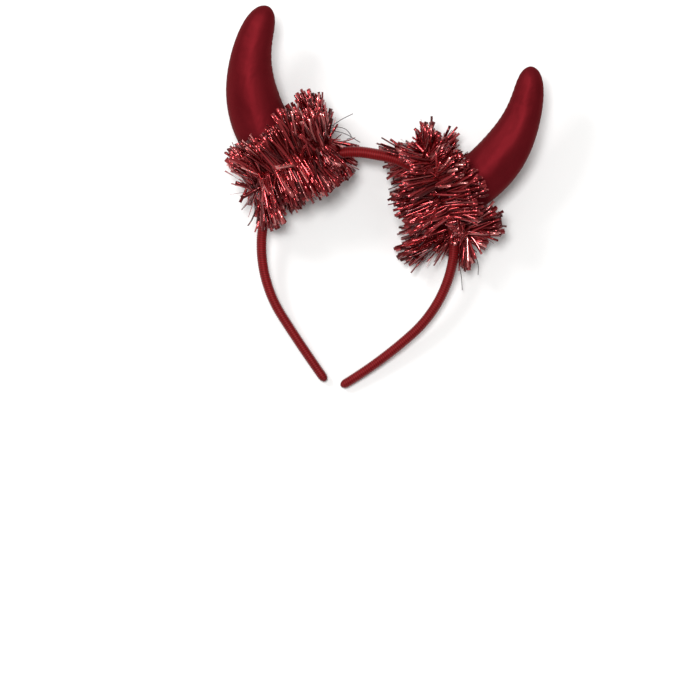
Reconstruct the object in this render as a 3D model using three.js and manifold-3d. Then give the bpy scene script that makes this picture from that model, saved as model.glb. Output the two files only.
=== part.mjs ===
// A devil horns headband, lying on a table as it comes to rest: a springy hoop wound with thread, two stuffed
// horns of metallic cloth that curve towards each other, and a garland of tinsel round the foot of each horn.
// Millimetres and degrees. +X to the wearer's side, +Y from the open ends to the horns, +Z up from the table.
// The hoop and the horns are drawn in the hoop's own plane, with its crown at the origin, and then laid down.
import * as THREE from "three";
import { mergeVertices } from "three/addons/utils/BufferGeometryUtils.js";
import Module from "manifold-3d";

const wasm = await Module();
wasm.setup();

const gap = 0.3; // kept between pieces that touch
const seatHeight = 23; // the hoop's height over the table where the horns stand
const degrees = Math.PI / 180;

// The hoop. Each arm runs from the crown to its free end through four bends, one row each: a share of the
// arm's length, and how far the arm turns along it.
const hoop = {
  armLength: 200,
  crownFlat: 8, // straight stretch over the middle of the head
  thick: 7.2, // across the hoop's plane, at the crown
  endThick: 5.8,
  wide: 8, // front to back, at the crown
  endWide: 6.6,
  endRound: 4, // length of the rounded end
  endBlunt: 0.12, // width of its blunt tip, as a share of the section
  flatSide: 56, // the oval section is cut flat below this angle, on the side that lies on the hair
  steps: 9, // facets along each bend
  sides: 13, // facets round the oval
};
const bends = {
  left: [
    { bend: "crown", share: 0.19, turn: 38 },
    { bend: "shoulder", share: 0.31, turn: 60 },
    { bend: "side", share: 0.25, turn: 34 },
    { bend: "leg", share: 0.25, turn: 3 },
  ],
  right: [
    { bend: "crown", share: 0.2, turn: 43 },
    { bend: "shoulder", share: 0.24, turn: 46 },
    { bend: "side", share: 0.28, turn: 39 },
    { bend: "leg", share: 0.28, turn: 11 },
  ],
};

// The horns, both cut from one pattern. The table gives the pattern's width along the horn, as shares of its
// greatest width.
const horn = {
  length: 113, // from the middle of the hoop, along its spine
  girth: 35.5, // the greatest width
  seatDistance: 51, // from the crown, along the hoop
  depth: 0.88, // front to back, as a share of the width
  sides: 18,
  steps: 24, // along its spine
};
const hornPattern = [
  { at: 0.0, widthShare: 0.8 },
  { at: 0.03, widthShare: 0.91 },
  { at: 0.08, widthShare: 0.98 },
  { at: 0.16, widthShare: 1.0 },
  { at: 0.26, widthShare: 1.0 },
  { at: 0.36, widthShare: 0.99 },
  { at: 0.45, widthShare: 0.95 },
  { at: 0.53, widthShare: 0.89 },
  { at: 0.61, widthShare: 0.81 },
  { at: 0.69, widthShare: 0.73 },
  { at: 0.77, widthShare: 0.66 },
  { at: 0.84, widthShare: 0.6 },
  { at: 0.9, widthShare: 0.53 },
  { at: 0.945, widthShare: 0.43 },
  { at: 0.975, widthShare: 0.31 },
  { at: 0.993, widthShare: 0.16 },
];
// How each horn was stuffed and sewn on: shares of the seat, the length and the girth above; how far it leans
// outwards from square to the hoop; and how far it curves back by its tip.
const hornSet = {
  left: { seatShare: 1.0, lengthShare: 1.0, girthShare: 1.0, lean: 14, curve: 84 },
  right: { seatShare: 1.02, lengthShare: 0.93, girthShare: 0.9, lean: 6, curve: 69 },
};

// The tinsel garland, a ring of thread with strips standing out all round it.
const tinsel = {
  pileLength: 28, // the strips that lie along the horn
  pileOutLength: 20, // those that stand out from it
  body: 0.55, // the close inner part of the pile, as a share of its length
  bodyInner: 0.4, // how thick that is on the horn's side of the thread, as a share of its thickness outside
  bodySides: 12, // facets round the close inner part
  rows: 17, // tufts along the thread
  tufts: 5, // tufts round it
  fan: 100, // how far the tufts lean to each side of straight outwards
  rootWide: 8,
  tipWide: 6,
  flatness: 0.36,
  uneven: 0.1, // how far lengths and leans differ from tuft to tuft
  scatter: 0.3, // how far a tuft's root strays along the thread, in rows
  droop: 0.35, // how far a tuft leans along the thread
  footHeight: 1.6, // at which the lowest tufts lie on the table
};
// How each garland was tied, as shares of the pile: how far its ring sits from the seat of its horn, up the
// horn and along the hoop towards the crown; the slack between the horn and its thread, in front and behind;
// half its length from side to side; how far its outer side is pulled up, in degrees; how far its strips are
// fluffed out, along the horn and out from it; and how much of the latter is left at the garland's two sides.
const tinselSet = {
  left: {
    riseShare: 0.26,
    inwardsShare: 0.1,
    slackShare: 0.04,
    halfShare: 0.96,
    cant: 16,
    fluff: 1.02,
    fluffOut: 1.0,
    sideShare: 0.5,
  },
  right: {
    riseShare: 0.07,
    inwardsShare: 0.09,
    slackShare: 0.1,
    halfShare: 0.93,
    cant: 0,
    fluff: 1.06,
    fluffOut: 1.15,
    sideShare: 0.8,
  },
};

const colours = { thread: 0x86161a, cloth: 0x7c1420, foil: 0x8e1a1c };

// A repeatable stand-in for chance, between -1 and 1.
const stray = (n) => 2 * THREE.MathUtils.euclideanModulo(Math.sin(n * 12.9898) * 43758.5453, 1) - 1;
const share = (low, high, t) => THREE.MathUtils.lerp(low, high, t);

// Walks a line of bends in the hoop's plane and returns its stations. A turn is to the walker's right, or to
// the left where side is -1, and heading 0 is along +X, or -X where side is -1.
function walk({ x, y, heading }, length, rows, side, steps) {
  const stations = [{ x, y, heading, along: 0 }];
  let along = 0;
  for (const row of rows) {
    const step = (length * row.share) / steps;
    const turn = (row.turn * degrees) / steps;
    for (let i = 0; i < steps; i++) {
      const middle = heading - turn / 2;
      x += side * Math.cos(middle) * step;
      y += Math.sin(middle) * step;
      heading -= turn;
      along += step;
      stations.push({ x, y, heading, along });
    }
  }
  return stations;
}

// The point, direction and outward normal of an arm at a distance from its start.
function stationAt(stations, distance) {
  const next = stations.findIndex((s) => s.along >= distance);
  const [a, b] = [stations[next - 1], stations[next]];
  const t = (distance - a.along) / (b.along - a.along);
  return {
    x: share(a.x, b.x, t),
    y: share(a.y, b.y, t),
    heading: share(a.heading, b.heading, t),
  };
}

// A closed skin over rings of equal numbers of points, with a flat end at each end ring, or joined end to end.
function skin(rings, joined = false) {
  const n = rings[0].length;
  const positions = rings.flat().flatMap((p) => [p.x, p.y, p.z]);
  const index = [];
  const last = joined ? rings.length : rings.length - 1;
  for (let i = 0; i < last; i++) {
    const [a, b] = [i * n, ((i + 1) % rings.length) * n];
    for (let j = 0; j < n; j++) {
      const k = (j + 1) % n;
      index.push(a + j, a + k, b + k, a + j, b + k, b + j);
    }
  }
  const end = (rings.length - 1) * n;
  for (let j = 1; j < n - 1 && !joined; j++) index.push(0, j + 1, j, end, end + j, end + j + 1);
  return new THREE.BufferGeometry()
    .setAttribute("position", new THREE.Float32BufferAttribute(positions, 3))
    .setIndex(index);
}

function solidOf(geometry) {
  for (const name of ["normal", "uv"]) geometry.deleteAttribute(name);
  const merged = mergeVertices(geometry, 1e-4);
  const mesh = new wasm.Mesh({
    numProp: 3,
    vertProperties: merged.attributes.position.array,
    triVerts: new Uint32Array(merged.index.array),
  });
  return new wasm.Manifold(mesh);
}

function geometryOf(solid) {
  const mesh = solid.getMesh();
  return new THREE.BufferGeometry()
    .setAttribute("position", new THREE.BufferAttribute(mesh.vertProperties, 3))
    .setIndex(new THREE.BufferAttribute(mesh.triVerts, 1));
}

// The two arms in the hoop's plane, each from the crown to its free end.
const arms = Object.fromEntries(
  [
    ["left", -1],
    ["right", 1],
  ].map(([name, side]) => {
    const straight = hoop.crownFlat / 2;
    const start = { x: side * straight, y: 0, heading: 0 };
    const stations = walk(start, hoop.armLength - straight, bends[name], side, hoop.steps);
    for (const s of stations) s.along += straight;
    return [name, { side, stations: [{ x: 0, y: 0, heading: 0, along: 0 }, ...stations] }];
  }),
);

// The hoop's oval section at a station, grown by a margin: flat on the inner side, round on the outer.
function hoopRing(station, side, scale, margin) {
  const t = station.along / hoop.armLength;
  const half = (share(hoop.thick, hoop.endThick, t) / 2) * scale + margin;
  const halfWide = (share(hoop.wide, hoop.endWide, t) / 2) * scale + margin;
  const normal = new THREE.Vector2(-side * Math.sin(station.heading), Math.cos(station.heading));
  return Array.from({ length: hoop.sides + 1 }, (_, i) => {
    const sweep = (180 + 2 * hoop.flatSide) / hoop.sides;
    const angle = (i * sweep - hoop.flatSide) * degrees;
    const out = Math.sin(angle) * half;
    return new THREE.Vector3(
      station.x + normal.x * out,
      station.y + normal.y * out,
      -Math.cos(angle) * halfWide,
    );
  });
}

// The hoop from the left end over the crown to the right end. Its ends are rounded off over endRound.
function hoopGeometry(margin) {
  const rings = [];
  for (const { side, stations } of [arms.left, arms.right]) {
    const body = stations.filter((s) => s.along > 0 && s.along < hoop.armLength - hoop.endRound);
    const mine = body.map((s) => hoopRing(s, side, 1, margin));
    for (const t of [0, 0.5, 0.8, 0.95, 1]) {
      const along = hoop.armLength - hoop.endRound * (1 - t) - 1e-6;
      const round = Math.max(Math.sqrt(1 - t * t), hoop.endBlunt);
      mine.push(hoopRing({ ...stationAt(stations, along), along }, side, round, margin));
    }
    if (side < 0) mine.reverse();
    rings.push(...mine);
  }
  return skin(rings);
}

// Each horn's spine starts in the middle of the hoop and curves back over it.
function hornSpine(name) {
  const { side, stations } = arms[name];
  const { seatShare, lengthShare, lean, curve } = hornSet[name];
  const { x, y, heading } = stationAt(stations, seatShare * horn.seatDistance);
  const start = { x, y, heading: heading + (90 - lean) * degrees };
  const bend = [{ share: 1, turn: -curve }];
  return { side, seat: { x, y }, stations: walk(start, lengthShare * horn.length, bend, side, horn.steps) };
}

// A stuffed horn: an oval that follows the pattern's width along the spine.
function hornGeometry(name, margin) {
  const { side, stations } = hornSpine(name);
  const rings = hornPattern.map(({ at, widthShare }) => {
    const s = stationAt(stations, Math.max(at * stations.at(-1).along, 1e-6));
    const across = (widthShare * horn.girth * hornSet[name].girthShare) / 2 + margin;
    const deep = across * horn.depth;
    return Array.from({ length: horn.sides }, (_, i) => {
      const angle = (i / horn.sides) * 2 * Math.PI * side;
      const out = Math.cos(angle) * across;
      return new THREE.Vector3(
        s.x + side * Math.sin(s.heading) * out,
        s.y - Math.cos(s.heading) * out,
        -Math.sin(angle) * deep,
      );
    });
  });
  return skin(rings);
}

// Laying down: the hoop's plane is tilted so that its ends and the seats of its horns reach their heights.
const ends = [arms.left, arms.right].map(({ stations }) => stations.at(-1).y);
const seats = ["left", "right"].map((name) => hornSpine(name).seat.y);
const drop = (seats[0] + seats[1] - ends[0] - ends[1]) / 2;
const tilt = Math.asin((seatHeight - hoop.endWide / 2) / drop);
const laid = new THREE.Matrix4().makeRotationX(tilt);
const asDrawn = hoopGeometry(0).applyMatrix4(laid);
asDrawn.computeBoundingBox();
laid.premultiply(new THREE.Matrix4().makeTranslation(0, 0, -asDrawn.boundingBox.min.z));

// A tuft: a flat tapered strip from the thread to its tip.
function tuft(root, direction, length, twist) {
  const flat = new THREE.CylinderGeometry(tinsel.tipWide / 2, tinsel.rootWide / 2, length, 3, 1);
  const stand = new THREE.Matrix4().compose(
    root.clone().addScaledVector(direction, length / 2),
    new THREE.Quaternion()
      .setFromUnitVectors(new THREE.Vector3(0, 1, 0), direction)
      .multiply(new THREE.Quaternion().setFromAxisAngle(new THREE.Vector3(0, 1, 0), twist)),
    new THREE.Vector3(1, 1, tinsel.flatness),
  );
  return flat.applyMatrix4(stand);
}

// The garland round one horn's foot, as it lies: the close inner pile and its tufts on an oval of thread, all
// pressed flat by the table.
function garland(name) {
  const { side, stations } = hornSpine(name);
  const tied = tinselSet[name];
  const centre = stationAt(stations, tied.riseShare * tinsel.pileLength);
  const turn = (v) => v.transformDirection(laid);
  const canted = centre.heading + tied.cant * degrees;
  const up = turn(new THREE.Vector3(side * Math.cos(canted), Math.sin(canted), 0));
  const across = turn(new THREE.Vector3(side * Math.sin(canted), -Math.cos(canted), 0));
  const front = turn(new THREE.Vector3(0, 0, 1));
  const place = new THREE.Vector3(centre.x, centre.y, 0).applyMatrix4(laid);
  place.addScaledVector(across, -tied.inwardsShare * tinsel.pileLength);
  const half = tied.halfShare * tinsel.pileLength;
  const girth = horn.girth * hornSet[name].girthShare;
  const deep = (girth / 2 + tied.slackShare * tinsel.pileLength) * horn.depth;
  const pile = tinsel.pileLength * tied.fluff;
  const pileOut = tinsel.pileOutLength * tied.fluffOut;
  const onOval = (t, wide, through) => {
    const sideways = across.clone().multiplyScalar(Math.cos(t) * wide);
    return sideways.addScaledVector(front, Math.sin(t) * through);
  };
  const outwards = (t) => onOval(t, deep, half).normalize();
  const outReach = (t) => pileOut * share(1, tied.sideShare, Math.abs(Math.cos(t)));
  const floor = (p, height) => p.setZ(Math.max(p.z, height));

  const body = Array.from({ length: tinsel.rows }, (_, i) => {
    const t = (i / tinsel.rows) * 2 * Math.PI;
    const out = outwards(t);
    const thread = place.clone().add(onOval(t, half, deep));
    return Array.from({ length: tinsel.bodySides }, (_, j) => {
      const angle = (side * j * 2 * Math.PI) / tinsel.bodySides;
      const rough = 1 + tinsel.uneven * stray(i * tinsel.bodySides + j);
      const inner = Math.cos(angle) < 0 ? tinsel.bodyInner : 1;
      return thread
        .clone()
        .addScaledVector(out, Math.cos(angle) * outReach(t) * tinsel.body * rough * inner)
        .addScaledVector(up, Math.sin(angle) * pile * tinsel.body * rough);
    });
  });
  const parts = [solidOf(skin(body, true))];

  for (let i = 0; i < tinsel.rows; i++) {
    for (let j = 0; j < tinsel.tufts; j++) {
      const n = i * tinsel.tufts + j + 1;
      const t = ((i + 0.5 * (j % 2) + tinsel.scatter * stray(n)) / tinsel.rows) * 2 * Math.PI;
      const out = outwards(t);
      const along = onOval(t + Math.PI / 2, half, deep).normalize();
      const fanned = (2 * j) / (tinsel.tufts - 1) - 1 + tinsel.uneven * stray(n + 900);
      const lean = tinsel.fan * degrees * fanned;
      const direction = new THREE.Vector3()
        .addScaledVector(out, Math.cos(lean))
        .addScaledVector(up, Math.sin(lean))
        .addScaledVector(along, tinsel.droop * stray(n + 300))
        .normalize();
      const root = floor(place.clone().add(onOval(t, half, deep)), tinsel.footHeight);
      const reach = Math.hypot(Math.sin(lean) / pile, Math.cos(lean) / outReach(t));
      const length = (1 + tinsel.uneven * stray(n + 600)) / reach;
      const lowest = (tinsel.footHeight - root.z) / length;
      if (direction.z < lowest) {
        const flat = Math.sqrt((1 - lowest ** 2) / (direction.x ** 2 + direction.y ** 2));
        direction.set(direction.x * flat, direction.y * flat, lowest);
      }
      parts.push(solidOf(tuft(root, direction, length, Math.PI * stray(n + 1200))));
    }
  }
  const block = 4 * tinsel.pileLength + 2 * horn.girth;
  const table = new THREE.BoxGeometry(block, block, block).translate(place.x, place.y, -block / 2);
  const cuts = [table, hoopGeometry(gap).applyMatrix4(laid), hornGeometry(name, gap).applyMatrix4(laid)];
  const pressed = cuts.reduce((made, cut) => made.subtract(solidOf(cut)), wasm.Manifold.union(parts));
  const pieces = pressed.decompose().sort((a, b) => b.volume() - a.volume());
  return geometryOf(pieces[0]);
}

const headband = new THREE.Group();
function add(name, geometry, color, roughness, metalness) {
  geometry.computeVertexNormals();
  const mesh = new THREE.Mesh(geometry, new THREE.MeshStandardMaterial({ color, roughness, metalness }));
  mesh.name = name;
  headband.add(mesh);
}

add("headband", hoopGeometry(0).applyMatrix4(laid), colours.thread, 0.85, 0);
for (const name of ["left", "right"]) {
  const whole = solidOf(hornGeometry(name, 0).applyMatrix4(laid));
  const seated = whole.subtract(solidOf(hoopGeometry(gap).applyMatrix4(laid)));
  add(`${name}_horn`, geometryOf(seated), colours.cloth, 0.38, 0.45);
  add(`${name}_tinsel`, garland(name), colours.foil, 0.22, 0.9);
}

// The origin is under the middle of the whole thing, on the table.
const bounds = new THREE.Box3().setFromObject(headband);
const middle = bounds.getCenter(new THREE.Vector3());
headband.position.set(-middle.x, -middle.y, 0);

export default headband;
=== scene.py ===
"""A devil horns headband as it lies on a pale table: a hoop wound with satin thread, two stuffed horns of
metallic cloth, and a garland of foil tinsel round the foot of each horn.
Metres; +Z up; +Y towards the horns."""
import math

import bpy
import numpy as np
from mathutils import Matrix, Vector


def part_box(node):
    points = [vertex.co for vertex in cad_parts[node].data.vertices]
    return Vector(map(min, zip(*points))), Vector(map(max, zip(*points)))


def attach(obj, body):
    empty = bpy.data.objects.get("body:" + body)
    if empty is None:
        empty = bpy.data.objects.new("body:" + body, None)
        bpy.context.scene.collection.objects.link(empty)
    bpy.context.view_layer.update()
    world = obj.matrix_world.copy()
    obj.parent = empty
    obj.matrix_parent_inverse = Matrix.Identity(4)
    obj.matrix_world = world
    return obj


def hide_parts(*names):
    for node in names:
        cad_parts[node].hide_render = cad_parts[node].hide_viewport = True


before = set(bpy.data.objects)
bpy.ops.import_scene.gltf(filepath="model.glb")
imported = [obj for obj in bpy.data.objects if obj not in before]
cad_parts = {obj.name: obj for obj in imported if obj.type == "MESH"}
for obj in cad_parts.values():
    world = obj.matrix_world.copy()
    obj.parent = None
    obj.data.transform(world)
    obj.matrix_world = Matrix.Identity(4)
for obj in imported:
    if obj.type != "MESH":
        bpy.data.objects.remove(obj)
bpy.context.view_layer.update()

scene = bpy.context.scene
collection = scene.collection

# The camera looks straight down on the headband through a long lens, so that a pixel is the same
# length near the table and at the horns. The headband lies turned a little in the picture.
PICTURE = 700  # pixels across the square picture
PIXEL = 0.00062  # metres across one pixel, at the height of the hoop
PICTURE_TURN = math.radians(10)
PICTURE_MIDDLE = (0.0066, -0.0879)
HOOP_HEIGHT = 0.02
camera_data = bpy.data.cameras.new("camera")
camera_data.lens = 200
camera_data.sensor_width = 36
camera = bpy.data.objects.new("camera", camera_data)
camera_distance = camera_data.lens / camera_data.sensor_width * PICTURE * PIXEL
camera.location = (*PICTURE_MIDDLE, HOOP_HEIGHT + camera_distance)
camera.rotation_euler = (0, 0, PICTURE_TURN)
camera_data.clip_start, camera_data.clip_end = 0.1, 10
collection.objects.link(camera)
scene.camera = camera


# The light is one wide soft box above the camera, a weak one low on the left, and a pale room all round.
def soft_box(name, place, size, watts):
    """A square soft box at a place, turned to face the middle of the table."""
    data = bpy.data.lights.new(name, "AREA")
    data.shape, data.size, data.energy = "SQUARE", size, watts
    box = bpy.data.objects.new(name, data)
    box.location = place
    x, y, z = place
    box.rotation_euler = (math.atan2(math.hypot(x, y), z), 0, math.atan2(x, -y))
    collection.objects.link(box)


soft_box("light_above", (-0.35, 0.30, 2.7), 0.7, 50)
soft_box("light_left", (-0.9, 0.5, 0.9), 0.35, 6)
world = bpy.data.worlds.new("room")
world.use_nodes = True
background = world.node_tree.nodes["Background"]
background.inputs["Color"].default_value = (1, 0.99, 0.98, 1)
background.inputs["Strength"].default_value = 0.42
scene.world = world
scene.view_settings.view_transform = "Standard"


# Short ways to write a material down.
def shader(name):
    """A new material with its node tree, its Principled shader and a short way to add a node."""
    material = bpy.data.materials.new(name)
    material.use_nodes = True
    tree = material.node_tree
    return material, tree.nodes["Principled BSDF"], adder(tree), tree.links.new


def adder(tree):
    """A short way to add a node to a tree, with values for its inputs."""

    def node(kind, **inputs):
        made = tree.nodes.new(kind if kind.startswith("Node") else "ShaderNode" + kind)
        for key, value in inputs.items():
            made.inputs[key.replace("_", " ")].default_value = value
        return made

    return node


def set_values(surface, **inputs):
    """Sets plain values on a shader's inputs."""
    for key, value in inputs.items():
        surface.inputs[key.replace("_", " ")].default_value = value


# The table is a pale sheet.
FLOOR_HALF = 3.0
floor_mesh = bpy.data.meshes.new("table")
corners = [(x * FLOOR_HALF, y * FLOOR_HALF, 0) for x, y in ((-1, -1), (1, -1), (1, 1), (-1, 1))]
floor_mesh.from_pydata(corners, [], [(0, 1, 2, 3)])
floor = bpy.data.objects.new("table", floor_mesh)
collection.objects.link(floor)
material, surface, node, link = shader("table_paper")
set_values(surface, Base_Color=(0.93, 0.93, 0.925, 1), Roughness=0.9, Specular_IOR_Level=0.1)
floor_mesh.materials.append(material)


# Dyed cloth is never quite even. One node group mixes two colours by cloudy noise, for every cloth here.
def uneven_group():
    """The group: Vector, Scale, Dark and Light go in; the mixed Color and the Cloud (0 to 1) come out."""
    group = bpy.data.node_groups.new("uneven_colour", "ShaderNodeTree")
    for name, way, kind in (
        ("Vector", "INPUT", "Vector"), ("Scale", "INPUT", "Float"), ("Dark", "INPUT", "Color"),
        ("Light", "INPUT", "Color"), ("Color", "OUTPUT", "Color"), ("Cloud", "OUTPUT", "Float"),
    ):
        group.interface.new_socket(name, in_out=way, socket_type="NodeSocket" + kind)
    node, link = adder(group), group.links.new
    given, made = node("NodeGroupInput"), node("NodeGroupOutput")
    noise = node("TexNoise", Detail=3.0, Roughness=0.55, Distortion=0.3)
    link(given.outputs["Vector"], noise.inputs["Vector"])
    link(given.outputs["Scale"], noise.inputs["Scale"])
    cloud = node("MapRange", From_Min=0.32, From_Max=0.68)
    link(noise.outputs["Fac"], cloud.inputs["Value"])
    mix = node("MixRGB")
    link(cloud.outputs["Result"], mix.inputs["Fac"])
    link(given.outputs["Dark"], mix.inputs["Color1"])
    link(given.outputs["Light"], mix.inputs["Color2"])
    link(mix.outputs["Color"], made.inputs["Color"])
    link(cloud.outputs["Result"], made.inputs["Cloud"])
    return group


uneven_colour = uneven_group()


def uneven(node, link, vector, scale, dark, light):
    """Adds the group to a material, fed with a vector and its own scale and colours."""
    made = node("Group")
    made.node_tree = uneven_colour
    link(vector, made.inputs["Vector"])
    set_values(made, Scale=scale, Dark=(*dark, 1), Light=(*light, 1))
    return made


# The hoop is a springy plastic core, wound from end to end with satin thread, whose turns lie as fine ribs
# across it. Each arm is bent in four stretches. Its inner side, which lies on the hair, is flat.
ARM_LENGTH = 0.200
CROWN_FLAT = 0.008
HOOP_THICK, HOOP_END_THICK = 0.0072, 0.0058
HOOP_WIDE, HOOP_END_WIDE = 0.0080, 0.0066
HOOP_END_ROUND = 0.004
HOOP_FLAT_SIDE = math.radians(56)
SEAT_HEIGHT = 0.023
RIB_STEP = 0.0014  # from rib to rib
RIB_HEIGHT = 0.00018
RIB_ROWS = 2400  # of points along the hoop, enough for its ribs
ROWS_TO_END = 1.06  # over 1: the rows lie closer together towards the hoop's ends
LAST_ROW = 0.998  # share of the rounding at which the end is closed
BENDS = {  # share of the arm's length, and the turn along it in degrees
    "left": ((0.19, 38), (0.31, 60), (0.25, 34), (0.25, 3)),
    "right": ((0.20, 43), (0.24, 46), (0.28, 39), (0.28, 11)),
}
SIDE = {"left": -1, "right": 1}


def bent_line(start, heading, length, turns, side, count):
    """A line of count points that turns at an even rate within each stretch: its heading is the running sum
    of the turns, and its place the running sum of short steps along the heading. Returns distances, points
    and headings."""
    along = np.linspace(0, length, count)
    ends = np.cumsum([0] + [share for share, _ in turns]) * length
    turned = np.cumsum([0] + [turn for _, turn in turns])
    headings = heading - np.radians(np.interp(along, ends, turned))
    middles = (headings[1:] + headings[:-1]) / 2
    step = length / (count - 1)
    x = start[0] + side * np.concatenate([[0], np.cumsum(np.cos(middles) * step)])
    y = start[1] + np.concatenate([[0], np.cumsum(np.sin(middles) * step)])
    return along, np.stack([x, y], 1), headings


def arm_line(name, count=1200):
    """One arm of the hoop from the middle of the crown: a short straight stretch and then its four bends."""
    half = CROWN_FLAT / 2
    start = (SIDE[name] * half, 0.0)
    along, points, headings = bent_line(start, 0.0, ARM_LENGTH - half, BENDS[name], SIDE[name], count)
    straight = np.linspace(0, half, 12, endpoint=False)
    crown = np.stack([SIDE[name] * straight, 0 * straight], 1)
    return (
        np.concatenate([straight, along + half]),
        np.concatenate([crown, points]),
        np.concatenate([0 * straight, headings]),
    )


def grid_mesh(name, points, lengthways):
    """A closed piece from a grid of points, rows along it and columns round it, whose columns join up again.
    A point at the middle of each end row closes it. Its UV map holds the given lengths and the share of the
    way round."""
    rows, columns = points.shape[:2]
    row, column = np.meshgrid(np.arange(rows - 1), np.arange(columns), indexing="ij")
    here, after = row * columns, (column + 1) % columns
    corners = [here + column, here + after, here + columns + after, here + columns + column]
    faces = np.stack(corners, -1).reshape(-1, 4).tolist()
    ring, following = np.arange(columns), (np.arange(columns) + 1) % columns
    base, first, last = (rows - 1) * columns, rows * columns, rows * columns + 1
    faces += np.stack([np.full(columns, first), following, ring], 1).tolist()
    faces += np.stack([np.full(columns, last), base + ring, base + following], 1).tolist()
    vertices = np.concatenate([points.reshape(-1, 3), points[:1].mean(1), points[-1:].mean(1)])
    mesh = bpy.data.meshes.new(name)
    mesh.from_pydata(vertices.tolist(), [], faces)
    mesh.polygons.foreach_set("use_smooth", np.ones(len(faces), bool))
    corner = np.empty(len(mesh.loops), np.int32)
    mesh.loops.foreach_get("vertex_index", corner)
    u = np.concatenate([np.repeat(lengthways, columns), lengthways[[0, -1]]])[corner]
    v = np.concatenate([np.tile(np.arange(columns) / columns, rows), [0.5, 0.5]])[corner]
    seam_loops = np.flatnonzero(np.repeat(column.ravel() == columns - 1, 4) & (v[: 4 * row.size] == 0))
    v[seam_loops] = 1
    mesh.uv_layers.new(name="along_round").data.foreach_set("uv", np.stack([u, v], 1).ravel())
    made = bpy.data.objects.new(name, mesh)
    collection.objects.link(made)
    return made


def hoop_section(along, round_angle):
    """The hoop's half thickness and half width at each distance, and how far out of the hoop's middle each
    angle round is, with the inner side cut straight at the flat side's angle."""
    share = along / ARM_LENGTH
    thick = (HOOP_THICK + (HOOP_END_THICK - HOOP_THICK) * share) / 2
    wide = (HOOP_WIDE + (HOOP_END_WIDE - HOOP_WIDE) * share) / 2
    outward = np.maximum(np.sin(round_angle), -math.sin(HOOP_FLAT_SIDE))
    return thick, wide, outward


def hoop_points(rows, columns, rib_height):
    """The wound hoop: the oval carried along both arms. A rib is a raised cosine of the distance in turns
    plus the angle round, so that it climbs round the hoop. The ends follow a quarter ellipse. Returns points,
    distances from the crown, and how high on a rib each point is, from 0 to 1."""
    signed = np.linspace(-1, 1, rows)
    distance = np.sign(signed) * ARM_LENGTH * (1 - (1 - np.abs(signed)) ** ROWS_TO_END)
    angle = np.linspace(0, 2 * np.pi, columns, endpoint=False)
    crest = 0.5 + 0.5 * np.cos(2 * np.pi * distance[:, None] / RIB_STEP + angle[None, :])
    points = np.empty((rows, columns, 3))
    for name in BENDS:
        along, line, headings = arm_line(name)
        mine = distance < 0 if SIDE[name] < 0 else distance >= 0
        s = np.abs(distance[mine])
        heading = np.interp(s, along, headings)
        thick, wide, outward = hoop_section(s[:, None], angle[None, :])
        into_end = np.clip((s - (ARM_LENGTH - HOOP_END_ROUND)) / HOOP_END_ROUND, 0, LAST_ROW)
        rounding = np.sqrt(1 - into_end**2)[:, None]
        rib = rib_height * crest[mine]
        out = (outward * thick + np.sign(outward) * rib * np.abs(np.sin(angle))) * rounding
        normal = np.stack([-SIDE[name] * np.sin(heading), np.cos(heading)], 1)[:, None]
        centre = np.stack([np.interp(s, along, line[:, i]) for i in (0, 1)], 1)[:, None]
        points[mine, :, :2] = centre + normal * out[..., None]
        points[mine, :, 2] = -np.cos(angle)[None, :] * (wide + rib) * rounding
    return points, distance, crest


def lay_down(points):
    """From the hoop's own plane to the table: a turn about X by the tilt, then the shift that puts the drawn
    hoop where the frame's hoop is."""
    y = points[..., 1] * math.cos(tilt) - points[..., 2] * math.sin(tilt)
    z = points[..., 1] * math.sin(tilt) + points[..., 2] * math.cos(tilt)
    return np.stack([points[..., 0], y, z], -1) + shift


def add_values(piece, name, values):
    """Keeps a value for each vertex of a piece, which its material reads by name."""
    layer = piece.data.attributes.new(name, "FLOAT", "POINT")
    filled = np.full(len(piece.data.vertices), values.ravel()[-1], np.float32)
    filled[: values.size] = values.ravel()
    layer.data.foreach_set("value", filled)


HORN_LENGTH = 0.113
HORN_SEAT = 0.051  # along the hoop from the crown
HORN_SET = {  # shares of the seat, length and girth; the lean outwards and the curve back, in degrees
    "left": dict(seat=1.0, long=1.0, fill=1.0, lean=14, curve=84, seed=11),
    "right": dict(seat=1.02, long=0.93, fill=0.9, lean=6, curve=69, seed=23),
}

# The headband is tilted so that the horns' seats are at their height and the ends of the hoop on the table.
arm_ends = [arm_line(name)[1][-1, 1] for name in BENDS]
seat_points = []
for name in BENDS:
    along, line, _ = arm_line(name)
    seat_points.append(np.interp(HORN_SEAT * HORN_SET[name]["seat"], along, line[:, 1]))
tilt = math.asin((SEAT_HEIGHT - HOOP_END_WIDE / 2) / ((sum(seat_points) - sum(arm_ends)) / 2))
shift = np.zeros(3)
plain_hoop = lay_down(hoop_points(800, 60, 0.0)[0]).reshape(-1, 3)
low, high = (np.array(corner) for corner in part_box("headband"))
shift = np.array([(low[0] + high[0] - plain_hoop[:, 0].min() - plain_hoop[:, 0].max()) / 2,
                  high[1] - plain_hoop[:, 1].max(), low[2] - plain_hoop[:, 2].min()])

wound, hoop_along, crest = hoop_points(RIB_ROWS, 28, RIB_HEIGHT)
wound = lay_down(wound)
wound[..., 2] = np.maximum(wound[..., 2], 0)
hoop = grid_mesh("wound_hoop", wound, hoop_along)
add_values(hoop, "crest", crest)

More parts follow.
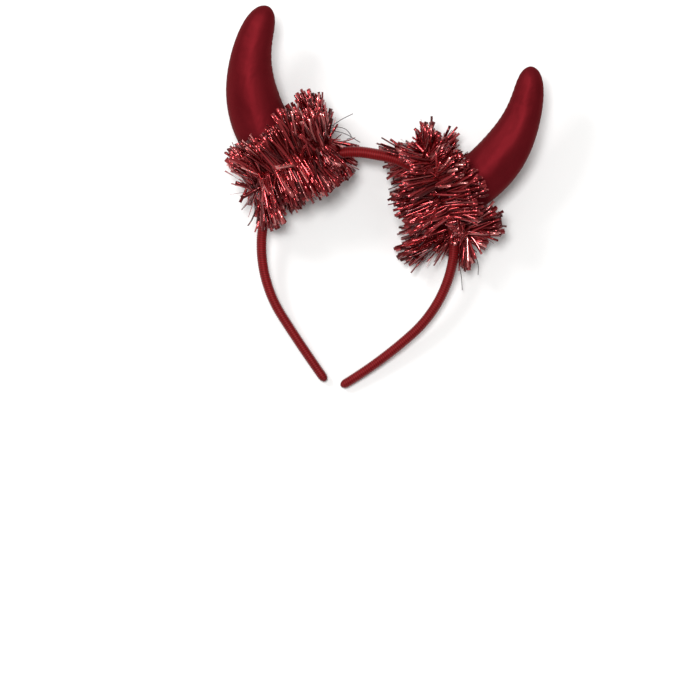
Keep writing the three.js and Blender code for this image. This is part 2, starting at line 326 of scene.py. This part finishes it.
material, surface, node, link = shader("satin_thread")
threads = node("Mapping", Scale=(1 / RIB_STEP, 9, 1))
link(node("UVMap").outputs["UV"], threads.inputs["Vector"])
fine = uneven(node, link, threads.outputs["Vector"], 5.0, (0.19, 0.004, 0.006), (0.28, 0.009, 0.011))
where = node("TexCoord").outputs["Object"]
worn = uneven(node, link, where, 70.0, (0.17, 0.003, 0.005), (0.26, 0.008, 0.010))
soft = node("MixRGB", Fac=0.5)
link(fine.outputs["Color"], soft.inputs["Color1"])
link(worn.outputs["Color"], soft.inputs["Color2"])
# Painted shade: the thread's colour is darkened to 55 per cent in the valleys between its ribs and kept full
# on their crests.
rib_painted_shade = node("Attribute")
rib_painted_shade.attribute_name = "crest"
between = node("MapRange", To_Min=0.55, To_Max=1.0)
link(rib_painted_shade.outputs["Fac"], between.inputs["Value"])
shaded = node("VectorMath")
shaded.operation = "SCALE"
link(soft.outputs["Color"], shaded.inputs[0])
link(between.outputs["Result"], shaded.inputs["Scale"])
link(shaded.outputs["Vector"], surface.inputs["Base Color"])
bump = node("Bump", Strength=0.5, Distance=0.0001)
link(fine.outputs["Cloud"], bump.inputs["Height"])
link(bump.outputs["Normal"], surface.inputs["Normal"])
lengthways = node("Tangent")
lengthways.direction_type, lengthways.uv_map = "UV_MAP", "along_round"
link(lengthways.outputs["Tangent"], surface.inputs["Tangent"])
set_values(surface, Roughness=0.5, Metallic=0.25, Anisotropic=0.8, Specular_IOR_Level=0.2)
hoop.data.materials.append(material)
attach(hoop, "root")
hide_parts("headband")

# Each horn is sewn from a front and a back panel of metallic satin, turned, and stuffed until it is nearly
# round. The seams run down its outer and inner edges, and the cloth puckers along both, most at the inner.
HORN_GIRTH = 0.0355  # the stuffed horn's greatest width
HORN_DEPTH = 0.88  # from front to back, as a share of the width
HORN_PATTERN = np.array([  # share of the horn's length, and width there as a share of the girth
    (0.0, 0.80), (0.03, 0.91), (0.08, 0.98), (0.16, 1.0), (0.26, 1.0), (0.36, 0.99), (0.45, 0.95),
    (0.53, 0.89), (0.61, 0.81), (0.69, 0.73), (0.77, 0.66), (0.84, 0.60), (0.90, 0.53), (0.945, 0.43),
    (0.975, 0.31), (0.993, 0.16), (1.0, 0.0),
])
EASED_STEPS = 81  # of a thousand along the pattern, over which its corners are rounded
# Soft dents in the stuffing: share of the length, radians round from the outer seam, their extent along and
# round, and their depth.
HORN_DENTS = {
    "left": ((0.45, 1.9, 0.16, 0.30, 0.0011), (0.70, 1.2, 0.10, 0.35, 0.0007),
             (0.30, 1.05, 0.12, 0.22, 0.0009)),
    "right": ((0.42, -1.0, 0.16, 0.28, 0.0012), (0.62, -1.9, 0.14, 0.30, 0.0009),
              (0.80, -1.3, 0.08, 0.3, 0.0005)),
}
BASE_RINGS = (0.03, 0.35, 0.7)  # rings of the base, as shares of its edge
SEAM_WIDE = 0.055  # radians
SEAM_DEEP = 0.00055
# Puckers beside a seam: from wave to wave, how much that changes and over what length, how high they are, and
# how many radians round they reach.
INNER_PUCKERS = (0.0048, 1.3, 0.013, 0.00007, 0.42)
OUTER_PUCKERS = (0.0036, 1.9, 0.009, 0.00003, 0.22)
TIP_SHARE = 0.06  # of the horn's length, over which seams and dents die out
LAST_RING = 0.9995  # share of the horn's length at which the tip is closed
SEAT_CLEAR = 0.0004  # between the cloth and the hoop
HORN_ROWS, HORN_COLUMNS = 180, 72
SEWN_SHARE = 0.06  # of the horn's length, the foot that is sewn to the hoop
STUFFING_PRESSURE = 4
STUFFING_FRAMES = 20
STUFFED_MOST = 0.0006  # the furthest that stuffing moves the cloth


def horn_line(name, count=400):
    """A horn's middle line: it leaves the hoop at its seat, leans out and curves back at an even rate."""
    held = HORN_SET[name]
    along, line, headings = arm_line(name)
    seat = held["seat"] * HORN_SEAT
    start = [np.interp(seat, along, line[:, i]) for i in (0, 1)]
    heading = np.interp(seat, along, headings) + math.radians(90 - held["lean"])
    return bent_line(start, heading, held["long"] * HORN_LENGTH, ((1, -held["curve"]),), SIDE[name], count)


def horn_half(name, share):
    """Half a horn's width at shares of its length. The pattern is read by the square root of the share left
    to the tip, in which a round tip is a straight line, and eased between its rows by a running mean."""
    fine = np.linspace(0, 1, 1001)
    width = np.interp(fine, np.sqrt(1 - HORN_PATTERN[::-1, 0]), HORN_PATTERN[::-1, 1])
    kernel = np.hanning(EASED_STEPS)
    padded = np.pad(width, EASED_STEPS // 2, mode="reflect", reflect_type="odd")
    eased = np.convolve(padded, kernel / kernel.sum(), "valid")
    return np.interp(np.sqrt(1 - np.asarray(share)), fine, eased) * HORN_GIRTH * HORN_SET[name]["fill"] / 2


def horn_axes(name, share):
    """The horn's line at shares of its length: places, directions outwards, and directions along it."""
    along, line, headings = horn_line(name)
    s = np.asarray(share) * along[-1]
    place = np.stack([np.interp(s, along, line[:, 0]), np.interp(s, along, line[:, 1]), 0 * s], -1)
    heading = np.interp(s, along, headings)
    out = np.stack([SIDE[name] * np.sin(heading), -np.cos(heading), 0 * s], -1)
    ahead = np.stack([SIDE[name] * np.cos(heading), np.sin(heading), 0 * s], -1)
    return place, out, ahead


def seated(points):
    """Lifts points of a horn's base that are in the hoop, square to the hoop, until they clear its oval."""
    for name in BENDS:
        along, line, headings = arm_line(name)
        normal = np.stack([-SIDE[name] * np.sin(headings), np.cos(headings)], 1)
        nearest = ((points[..., None, :2] - line) ** 2).sum(-1).argmin(-1)
        height = ((points[..., :2] - line[nearest]) * normal[nearest]).sum(-1)
        thick, wide, _ = hoop_section(along[nearest], 0.0)
        beside = np.abs(points[..., 2]) / (wide + SEAT_CLEAR)
        needed = (thick + SEAT_CLEAR) * np.sqrt(np.maximum(1 - beside**2, 0))
        inside = (beside < 1) & (height < needed) & (points[..., 0] * SIDE[name] > 0)
        points[..., :2] += normal[nearest] * np.where(inside, needed - height, 0)[..., None]
    return points


def puckers(s, from_seam, kind, phase):
    """Short waves of the length that die away from a seam."""
    step, change, slow, high, reach = kind
    wave = np.sin(s / step * 2 * np.pi + change * np.sin(s / slow) + phase)
    return high * wave * np.exp(-((from_seam[None] / reach) ** 2))


def horn_points(name, rows, columns):
    """A horn as an oval carried along its line, with more rows towards its tip. Each seam is a narrow groove,
    a Gaussian of the angle from it, and the base's rings close the horn below. Returns points and each row's
    share of the length."""
    rng = np.random.default_rng(HORN_SET[name]["seed"])
    t = np.linspace(0, 1, rows)
    share = 1 - (1 - t) ** 1.5 * (1 - 0.25 * t)
    share[-1] = LAST_RING
    place, out, _ = horn_axes(name, share)
    angle = np.linspace(0, 2 * np.pi, columns, endpoint=False) * SIDE[name]
    from_outer = np.abs(np.arctan2(np.sin(angle), np.cos(angle)))
    from_inner = np.pi - from_outer
    taper = np.clip((1 - share) / TIP_SHARE, 0, 1)[:, None]
    groove = SEAM_DEEP * sum(np.exp(-((away / SEAM_WIDE) ** 2)) for away in (from_outer, from_inner))
    s = share[:, None] * HORN_LENGTH
    inner = puckers(s, from_inner, INNER_PUCKERS, rng.uniform(0, 6))
    outer = puckers(s, from_outer, OUTER_PUCKERS, 0)
    dents = 0
    for at, turn, long, wide, depth in HORN_DENTS[name]:
        away = np.angle(np.exp(1j * (angle - turn)))
        dents = dents + depth * np.exp(-(((share[:, None] - at) / long) ** 2) - (away / wide) ** 2)
    radius = horn_half(name, share)[:, None] - (groove[None] - inner - outer + dents) * taper
    points = place[:, None] + out[:, None] * (np.cos(angle)[None] * radius)[..., None]
    points[..., 2] -= np.sin(angle)[None] * radius * HORN_DEPTH
    base = [place[0] + (points[0] - place[0]) * size for size in BASE_RINGS]
    share = np.concatenate([np.zeros(len(base)), share])
    return lay_down(seated(np.concatenate([base, points]))), share


def stuff(horn, held):
    """Stuffs a cloth horn: its skin is blown out from inside for some frames while the held vertices stay,
    and then each vertex keeps its way up to the most that it may move."""
    before = np.empty(len(horn.data.vertices) * 3)
    horn.data.vertices.foreach_get("co", before)
    horn.vertex_groups.new(name="sewn").add(held.tolist(), 1.0, "REPLACE")
    stuffing = horn.modifiers.new("stuffing", "CLOTH")
    stuffing.settings.vertex_group_mass = "sewn"
    stuffing.settings.use_pressure = True
    stuffing.settings.uniform_pressure_force = STUFFING_PRESSURE
    stuffing.settings.effector_weights.gravity = 0
    stuffing.point_cache.frame_start, stuffing.point_cache.frame_end = 1, STUFFING_FRAMES
    for number in range(1, STUFFING_FRAMES + 1):
        scene.frame_set(number)
    blown = horn.evaluated_get(bpy.context.evaluated_depsgraph_get())
    after = np.empty_like(before)
    blown.data.vertices.foreach_get("co", after)
    horn.modifiers.remove(stuffing)
    scene.frame_set(1)
    move = (after - before).reshape(-1, 3)
    far = np.linalg.norm(move, axis=1, keepdims=True)
    move *= np.minimum(1, STUFFED_MOST / np.maximum(far, 1e-9))
    horn.data.vertices.foreach_set("co", before + move.ravel())
    horn.data.update()


material, surface, node, link = shader("metallic_satin")
where = node("TexCoord").outputs["Object"]
map_of_cloth = node("UVMap").outputs["UV"]
THREAD_STEP = 0.00045  # from thread to thread of the cloth
weave_map = node("Mapping", Scale=(1 / THREAD_STEP, 260, 1))
link(map_of_cloth, weave_map.inputs["Vector"])
weave = node("TexNoise", Scale=1.0, Detail=2.0, Roughness=0.5)
link(weave_map.outputs["Vector"], weave.inputs["Vector"])
streak_map = node("Mapping", Scale=(18, 7, 1))
link(map_of_cloth, streak_map.inputs["Vector"])
streak_colours = (0.098, 0.0055, 0.0085), (0.155, 0.010, 0.0145)
streaks = uneven(node, link, streak_map.outputs["Vector"], 1.0, *streak_colours)
clouds = uneven(node, link, where, 34.0, (0.092, 0.005, 0.0075), (0.145, 0.009, 0.013))
both = node("MixRGB", Fac=0.5)
link(streaks.outputs["Color"], both.inputs["Color1"])
link(clouds.outputs["Color"], both.inputs["Color2"])
link(both.outputs["Color"], surface.inputs["Base Color"])
bump = node("Bump", Strength=0.25, Distance=0.0001)
link(weave.outputs["Fac"], bump.inputs["Height"])
soft = node("Bump", Strength=0.3, Distance=0.002)
link(clouds.outputs["Cloud"], soft.inputs["Height"])
link(bump.outputs["Normal"], soft.inputs["Normal"])
link(soft.outputs["Normal"], surface.inputs["Normal"])
rough = node("MapRange", To_Min=0.46, To_Max=0.58)
link(streaks.outputs["Cloud"], rough.inputs["Value"])
link(rough.outputs["Result"], surface.inputs["Roughness"])
set_values(surface, Metallic=0.5, Specular_IOR_Level=0.08, Specular_Tint=(0.45, 0.06, 0.09, 1),
           Sheen_Weight=0.02, Sheen_Roughness=0.3, Sheen_Tint=(0.6, 0.4, 0.5, 1))

for name in HORN_SET:
    points, share = horn_points(name, HORN_ROWS, HORN_COLUMNS)
    horn = grid_mesh(f"{name}_satin_horn", points, share * HORN_LENGTH)
    vertex = np.arange(len(horn.data.vertices))
    column = vertex % HORN_COLUMNS
    on_foot = share[np.minimum(vertex // HORN_COLUMNS, len(share) - 1)] < SEWN_SHARE
    on_seam = (column == 0) | (column == HORN_COLUMNS // 2)
    stuff(horn, vertex[on_foot | on_seam])
    horn.data.materials.append(material)
    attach(horn, "root")
    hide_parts(f"{name}_horn")

# Each garland is a twisted thread that grips narrow strips of metallised film, wound twice round the foot of
# the horn in a flat oval and tied. The strips lie in brushes, most of them combed up the horn or down over
# the hoop.
PILE = 0.028  # the strips' length
PILE_OUT = 0.020  # of those that stand straight out, which bend
STRIP_WIDE = 0.0017
STRIP_THICK = 0.00012
STRIP_SEGMENTS = 5
PAIRED, PAIRED_WIDE = 0.15, 1.7  # share of the strips that lie two side by side, and their width then
SHORTEST = 0.25  # share of a strip that is left where the hoop lies free
STRIP_CLEAR = 0.0006  # from the horn and the hoop
TABLE_CLEAR = 0.0004
PILED_ON_HORN, PILED_ON_TABLE = 0.0016, 0.0012  # how much higher the topmost strips lie
# How each garland was tied. In shares of the pile: rise is how far up the horn, inwards how far to the horn's
# inner side, slack how far out of its front and back, and half is half its length from side to side. cant is
# the degrees by which its outer side is pulled up. up and down are the lengths of the strips up the horn and
# down over the hoop, as shares of the pile at its inner side, in the middle and at its outer side. splay is
# the degrees by which the strips at its sides lean out, and stray how far all of them stray.
GARLANDS = {
    "left": dict(rise=0.26, inwards=0.04, slack=0.04, cant=16, half=0.92, up=(1.04, 1.04, 0.82),
                 down=(0.84, 0.94, 0.92), splay=12, stray=0.12, seed=5),
    "right": dict(rise=0.07, inwards=0.09, slack=0.10, cant=0, half=0.93, up=(0.70, 0.90, 0.86),
                  down=(0.92, 1.04, 0.64), splay=26, stray=0.17, seed=9),
}
TURN_APART = 0.0032  # the thread goes round twice, and this is half the distance between its turns
ROOT_STRAY = 0.0012  # how far the strips' roots are from the thread's middle
ARM_FREE = {  # stretches of the hoop's arms that no strip lies on, in metres from the crown
    "left": ((0.0, 0.023),),
    "right": ((0.0, 0.026), (0.063, 0.100)),
}
WILD = 0.15  # share of the strips that were crushed out of their brush
WILD_STRAY = 0.5  # radians
WILD_LONG = 0.85  # share of the length that such a strip reaches
BRUSHES_ROUND = 20  # pairs of brushes along the thread, one up the horn and one down over the hoop
STRIPS_TO_BRUSH = 40
BRUSH_WIDE = 1.3  # over 1: neighbouring brushes overlap
BRUSH_FANNED = 0.3  # share of the thread's turn within a brush that its strips follow
BRUSH_SPREAD = 0.15  # radians from one side of a brush to the other
CURL = 0.06  # radians at each joint
# Brushes that stand out from the rest: degrees round from the outer side over the front, lean up the horn,
# lean along the thread, share of the length, and number of strips.
FANS = {
    "left": ((180, 84, 0, 1.12, 44), (168, 70, 0, 1.04, 36), (10, 82, 0, 0.96, 30), (0, -84, 0, 1.0, 44)),
    "right": ((178, 10, 0, 1.02, 40), (172, 34, 0, 0.98, 36), (180, -57, 0, 1.25, 22),
              (178, -84, 0, 1.15, 40), (-36, -88, 0, 1.42, 48), (-24, -86, 0, 1.36, 44),
              (0, -20, 0, 1.08, 40), (6, -44, 0, 1.0, 40)),
}


def unit(vectors):
    """Vectors scaled to length 1."""
    return vectors / np.maximum(np.linalg.norm(vectors, axis=-1, keepdims=True), 1e-12)


def turned(vectors):
    """Directions in the hoop's plane turned as the headband lies."""
    return lay_down(vectors) - shift


def clear_of_horn(points, name, margin):
    """Moves points that are inside a horn out through its side: each point is measured from the nearest place
    on the horn's line, in widths across and depths through, and pushed out to the oval plus a margin. Points
    well below the horn's foot or at its very tip stay."""
    share = np.linspace(0, 1, 60)
    place, out, ahead = horn_axes(name, share)
    place, out, ahead = lay_down(place), turned(out), turned(ahead)
    front = turned(np.array([0.0, 0.0, 1.0]))
    half = horn_half(name, share)
    nearest = ((points[:, None] - place[None]) ** 2).sum(-1).argmin(1)
    offset = points - place[nearest]
    x = (offset * out[nearest]).sum(-1)
    y = (offset * ahead[nearest]).sum(-1)
    z = (offset * front).sum(-1)
    radius = np.hypot(x / (half[nearest] + margin), z / (half[nearest] * HORN_DEPTH + margin))
    inside = (radius < 1) & (y > -0.004) & (nearest < 58)
    grow = np.where(inside, 1 / np.maximum(radius, 0.05), 1)[:, None]
    aside = out[nearest] * x[:, None] + front * z[:, None]
    return place[nearest] + aside * grow + ahead[nearest] * y[:, None]


def from_arm(name, points):
    """Where points are, measured from the nearest place on an arm of the hoop: metres along the arm from the
    crown, out from its middle, and forward of it, and the arm's outward direction there."""
    along, line, headings = arm_line(name, 240)
    place = lay_down(np.column_stack([line, 0 * along]))
    normal = turned(np.column_stack([-SIDE[name] * np.sin(headings), np.cos(headings), 0 * along]))
    nearest = ((points[:, None] - place[None]) ** 2).sum(-1).argmin(1)
    offset = points - place[nearest]
    front = turned(np.array([0.0, 0.0, 1.0]))
    return along[nearest], (offset * normal[nearest]).sum(-1), (offset * front).sum(-1), normal[nearest]


def clear_of_hoop(points, margin):
    """Moves points that are inside the hoop straight out of its oval section."""
    front = turned(np.array([0.0, 0.0, 1.0]))
    for name in BENDS:
        along, out, forward, normal = from_arm(name, points)
        thick, wide, _ = hoop_section(along, 0.0)
        radius = np.hypot(out / (thick + margin), forward / (wide + margin))
        grow = np.where(radius < 1, 1 / np.maximum(radius, 0.05), 1) - 1
        points = points + normal * (out * grow)[:, None] + front * (forward * grow)[:, None]
    return points


def before_arm(paths, name, margin):
    """The share of each path that it runs before it lies on a free stretch of the arm, or 1."""
    count, joints = paths.shape[:2]
    along, out, forward, _ = from_arm(name, paths.reshape(-1, 3))
    on_top = (np.abs(out) < hoop_section(along, 0.0)[0] + margin) & (forward > 0)
    free = np.zeros(len(along), bool)
    for first, last in ARM_FREE[name]:
        free |= on_top & (along > first) & (along < last)
    free = free.reshape(count, joints)
    return np.where(free.any(1), free.argmax(1) / (joints - 1), 1.0)


def garland_frame(name):
    """The oval of thread round the horn's foot: its centre, half its length across and half its depth, and
    the directions across it, up the horn and to the front."""
    tied = GARLANDS[name]
    share = tied["rise"] * PILE / (HORN_LENGTH * HORN_SET[name]["long"])
    place, out, ahead = horn_axes(name, np.array([share]))
    cant = math.radians(tied["cant"])
    across = turned(out * math.cos(cant) + ahead * math.sin(cant))[0]
    up = turned(ahead * math.cos(cant) - out * math.sin(cant))[0]
    centre = lay_down(place)[0] - across * tied["inwards"] * PILE
    deep = (HORN_GIRTH * HORN_SET[name]["fill"] / 2 + tied["slack"] * PILE) * HORN_DEPTH
    return centre, tied["half"] * PILE, deep, across, up, turned(np.array([0.0, 0.0, 1.0]))


def brushes(name, rng):
    """The garland's brushes, one row each: radians round, lean up, lean along the thread, share of the length
    and number of strips. They go round in even steps, one up and one down at each. In front and behind they
    lie along the horn, and towards its sides they stand out further. The fans follow."""
    tied = GARLANDS[name]
    rows = []
    for i in range(BRUSHES_ROUND):
        for way, longs in ((1, tied["up"]), (-1, tied["down"])):
            around = 2 * np.pi / BRUSHES_ROUND * (i + 0.25 * way + rng.normal(0, 0.12))
            splay = rng.uniform(0.1, 1) * tied["splay"] * abs(np.cos(around))
            lean = np.radians(way * (90 - (splay + rng.uniform(0, 120) * tied["stray"])))
            long = np.interp(np.cos(around), (-1, 0, 1), longs) * rng.uniform(0.92, 1.04)
            rows.append((around, lean, rng.normal(0, tied["stray"]), long, STRIPS_TO_BRUSH))
    for around, lean, drift, long, count in FANS[name]:
        rows.append((math.radians(around), math.radians(lean), math.radians(drift), long, count))
    return np.array(rows)


def strips(name, rng):
    """Paths of the garland's strips as an array of strips, joints and coordinates. A strip leaves the thread
    in its brush's direction. Each joint carries on with a small even curl, and gives way to the horn, the
    hoop and the table. Each brush is cut level, and strips that stand straight out reach less far."""
    centre, half, deep, across, up, front = garland_frame(name)
    table = brushes(name, rng)
    of_brush = np.repeat(np.arange(len(table)), table[:, 4].astype(int))
    count = len(of_brush)
    brush_round, lean, drift, long = (table[of_brush, i] for i in range(4))

    def on_oval(turn, wide, through):
        """Offsets on an oval with the given half lengths, at angles from its outer side over the front."""
        return across * (np.cos(turn) * wide)[:, None] + front * (np.sin(turn) * through)[:, None]

    along_thread = rng.uniform(-0.5, 0.5, count) + rng.normal(0, 0.1, count)
    ring = brush_round + along_thread * 2 * np.pi / BRUSHES_ROUND * BRUSH_WIDE
    facing = brush_round + BRUSH_FANNED * (ring - brush_round)
    wild = rng.uniform(0, 1, count) < WILD
    lean = lean + rng.normal(0, np.radians(4), count) + wild * rng.normal(0, WILD_STRAY, count)
    drift = drift + BRUSH_SPREAD * along_thread + rng.normal(0, 0.05, count)
    drift = drift + wild * rng.normal(0, WILD_STRAY, count)
    out, sideways = unit(on_oval(facing, deep, half)), unit(on_oval(facing + np.pi / 2, half, deep))
    direction = out * np.cos(lean)[:, None] + up * np.sin(lean)[:, None] + sideways * np.sin(drift)[:, None]
    direction = unit(direction)
    length = PILE * long * rng.uniform(0.93, 1.03, count)
    length /= np.hypot(np.sin(lean), np.cos(lean) * PILE / PILE_OUT)
    length *= np.where(wild, WILD_LONG, 1.0)
    curl = unit(rng.normal(0, 1, (count, 3))) * rng.normal(0, CURL, count)[:, None]
    root = centre + on_oval(ring, half, deep) + out * rng.normal(0, ROOT_STRAY, count)[:, None]
    winding = TURN_APART * np.sign(rng.uniform(-1, 1, len(table)))[of_brush]
    root += up * (winding + rng.normal(0, ROOT_STRAY, count))[:, None]
    root[:, 2] = np.maximum(root[:, 2], TABLE_CLEAR)
    lift = rng.uniform(0, 1, count)

    def laid_out(length):
        """The strips at given lengths."""
        ahead, path = direction, [root]
        step = (length / STRIP_SEGMENTS)[:, None]
        for _ in range(STRIP_SEGMENTS):
            ahead = unit(ahead + curl)
            point = clear_of_hoop(path[-1] + ahead * step, STRIP_CLEAR)
            point = clear_of_horn(point, name, STRIP_CLEAR + PILED_ON_HORN * lift)
            point[:, 2] = np.maximum(point[:, 2], TABLE_CLEAR + PILED_ON_TABLE * lift)
            moved = unit(point - path[-1])
            ahead = unit(0.5 * ahead + 0.5 * moved)
            path.append(path[-1] + moved * step)
        return np.stack(path, 1)

    free_share = before_arm(laid_out(length), name, STRIP_CLEAR)
    return laid_out(length * np.maximum(free_share, SHORTEST))


def strip_mesh(name, paths, rng):
    """Ribbons with a thin rectangular section along the paths. The section's wide side faces more or less out
    of the garland, at a chance turn that changes a little along the strip. Some strips are wider, as where
    two lie side by side, and each has a chance tone of colour."""
    count, joints = paths.shape[:2]
    ahead = unit(np.gradient(paths, axis=1))
    outwards = unit(paths.mean(1) - paths.mean((0, 1))) + turned(np.array([0.0, 0.0, 1.0]))
    start = unit(np.cross(ahead[:, 0], outwards / 2 + rng.normal(0, 0.35, (count, 3))))
    turn = rng.normal(0, 0.4, (count, 1, 1)) * np.linspace(0, 1, joints)[None, :, None]
    wide = unit(start[:, None] - ahead * (ahead * start[:, None]).sum(-1, keepdims=True))
    thin = np.cross(ahead, wide)
    wide, thin = wide * np.cos(turn) + thin * np.sin(turn), thin * np.cos(turn) - wide * np.sin(turn)
    size = STRIP_WIDE * rng.uniform(0.75, 1.15, (count, 1, 1)) / 2
    size *= np.where(rng.uniform(0, 1, (count, 1, 1)) < PAIRED, PAIRED_WIDE, 1.0)
    corners = ((1, 1), (-1, 1), (-1, -1), (1, -1))
    rings = np.stack([paths + wide * size * a + thin * (STRIP_THICK / 2 * b) for a, b in corners], 2)
    rings[..., 2] = np.maximum(rings[..., 2], 0.0)
    vertices = rings.reshape(-1, 3)
    per = joints * 4
    joint, corner = np.meshgrid(np.arange(joints - 1), np.arange(4), indexing="ij")
    after = (corner + 1) % 4
    here = joint * 4
    side = np.stack([here + corner, here + after, here + 4 + after, here + 4 + corner], -1)
    caps = np.array([[3, 2, 1, 0], [per - 4, per - 3, per - 2, per - 1]])
    one = np.concatenate([side.reshape(-1, 4), caps])
    faces = (one[None] + (np.arange(count) * per)[:, None, None]).reshape(-1, 4)
    mesh = bpy.data.meshes.new(name)
    mesh.vertices.add(len(vertices))
    mesh.vertices.foreach_set("co", vertices.ravel())
    mesh.loops.add(faces.size)
    mesh.loops.foreach_set("vertex_index", faces.ravel().astype(np.int32))
    mesh.polygons.add(len(faces))
    mesh.polygons.foreach_set("loop_start", np.arange(0, faces.size, 4, dtype=np.int32))
    mesh.update(calc_edges=True)
    made = bpy.data.objects.new(name, mesh)
    collection.objects.link(made)
    add_values(made, "tone", np.repeat(rng.uniform(0, 1, count), per))
    return made


material, surface, node, link = shader("red_foil")
tone = node("Attribute")
tone.attribute_name = "tone"
ramp = node("ValToRGB")
ramp.color_ramp.elements[0].color = (0.07, 0.001, 0.002, 1)
ramp.color_ramp.elements[1].color = (0.90, 0.34, 0.32, 1)
for at, color in ((0.5, (0.25, 0.006, 0.009, 1)), (0.88, (0.46, 0.040, 0.046, 1))):
    ramp.color_ramp.elements.new(at).color = color
link(tone.outputs["Fac"], ramp.inputs["Fac"])
link(ramp.outputs["Color"], surface.inputs["Base Color"])
crinkle = node("TexNoise", Scale=150.0, Detail=2.0, Roughness=0.5)
link(node("TexCoord").outputs["Object"], crinkle.inputs["Vector"])
bump = node("Bump", Strength=0.4, Distance=0.0007)
link(crinkle.outputs["Fac"], bump.inputs["Height"])
link(bump.outputs["Normal"], surface.inputs["Normal"])
set_values(surface, Metallic=0.8, Roughness=0.18, Coat_Weight=0.5, Coat_Roughness=0.08)

for name, tied in GARLANDS.items():
    rng = np.random.default_rng(tied["seed"])
    garland = strip_mesh(f"{name}_tinsel_strips", strips(name, rng), rng)
    garland.data.materials.append(material)
    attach(garland, "root")
    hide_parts(f"{name}_tinsel")

# The garlands' thread is a dark metallic yarn. Its tied ends come loose from the pile as fine wisps.
THREAD_RADIUS = 0.00022
LOOSE_THREADS = {  # where each wisp runs, from inside the pile, in millimetres
    "left_tinsel": (
        ((-35, 40, 22), (-31, 44, 25), (-24, 51, 26), (-17, 56.5, 23)),
        ((-33, 41, 22), (-28.5, 43.5, 27), (-19.5, 43, 30), (-9.5, 39.5, 29)),
        ((-33, 42, 20), (-27, 46, 28), (-20, 46, 29), (-15.5, 42, 28), (-18, 40, 28)),
    ),
    "right_tinsel": (
        ((40, -14, 20), (36, -19, 18), (33.4, -22.5, 16), (37, -25, 15), (42.2, -25.6, 15), (44, -20, 17),
         (46, -14, 20)),
        ((68, -9, 16), (73.4, -17, 13), (76, -22, 11), (77, -28, 10)),
        ((62, -17, 13), (64, -23, 11), (67, -31, 9), (69, -39, 8)),
    ),
}


def smooth_path(points, spans=8):
    """A cubic curve through points: between two of them it leaves and arrives along the line that joins their
    neighbours."""
    points = np.array(points, float)
    slope = np.gradient(points, axis=0)
    t = np.linspace(0, 1, spans, endpoint=False)[:, None]
    leave, leaving = 2 * t**3 - 3 * t**2 + 1, t**3 - 2 * t**2 + t
    arrive, arriving = 3 * t**2 - 2 * t**3, t**3 - t**2
    parts = [
        leave * a + leaving * u + arrive * b + arriving * v
        for a, b, u, v in zip(points[:-1], points[1:], slope[:-1], slope[1:])
    ]
    return np.concatenate(parts + [points[-1:]])


material, surface, node, link = shader("dark_yarn")
set_values(surface, Base_Color=(0.05, 0.035, 0.04, 1), Roughness=0.45, Metallic=0.3)
for name, wisps in LOOSE_THREADS.items():
    for number, wisp in enumerate(wisps, 1):
        path = smooth_path(wisp) / 1000
        ahead = unit(np.gradient(path, axis=0))
        across = unit(np.cross(ahead, (0, 0, 1)))
        above = np.cross(across, ahead)
        angle = np.linspace(0, 2 * np.pi, 6, endpoint=False)[None, :, None]
        round_path = across[:, None] * np.cos(angle) + above[:, None] * np.sin(angle)
        points = (path[:, None] + round_path * THREAD_RADIUS)[:, ::-1]
        thread = grid_mesh(f"{name}_thread_{number}", points, np.linspace(0, 1, len(path)))
        thread.data.materials.append(material)
        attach(thread, "root")
        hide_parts(name)
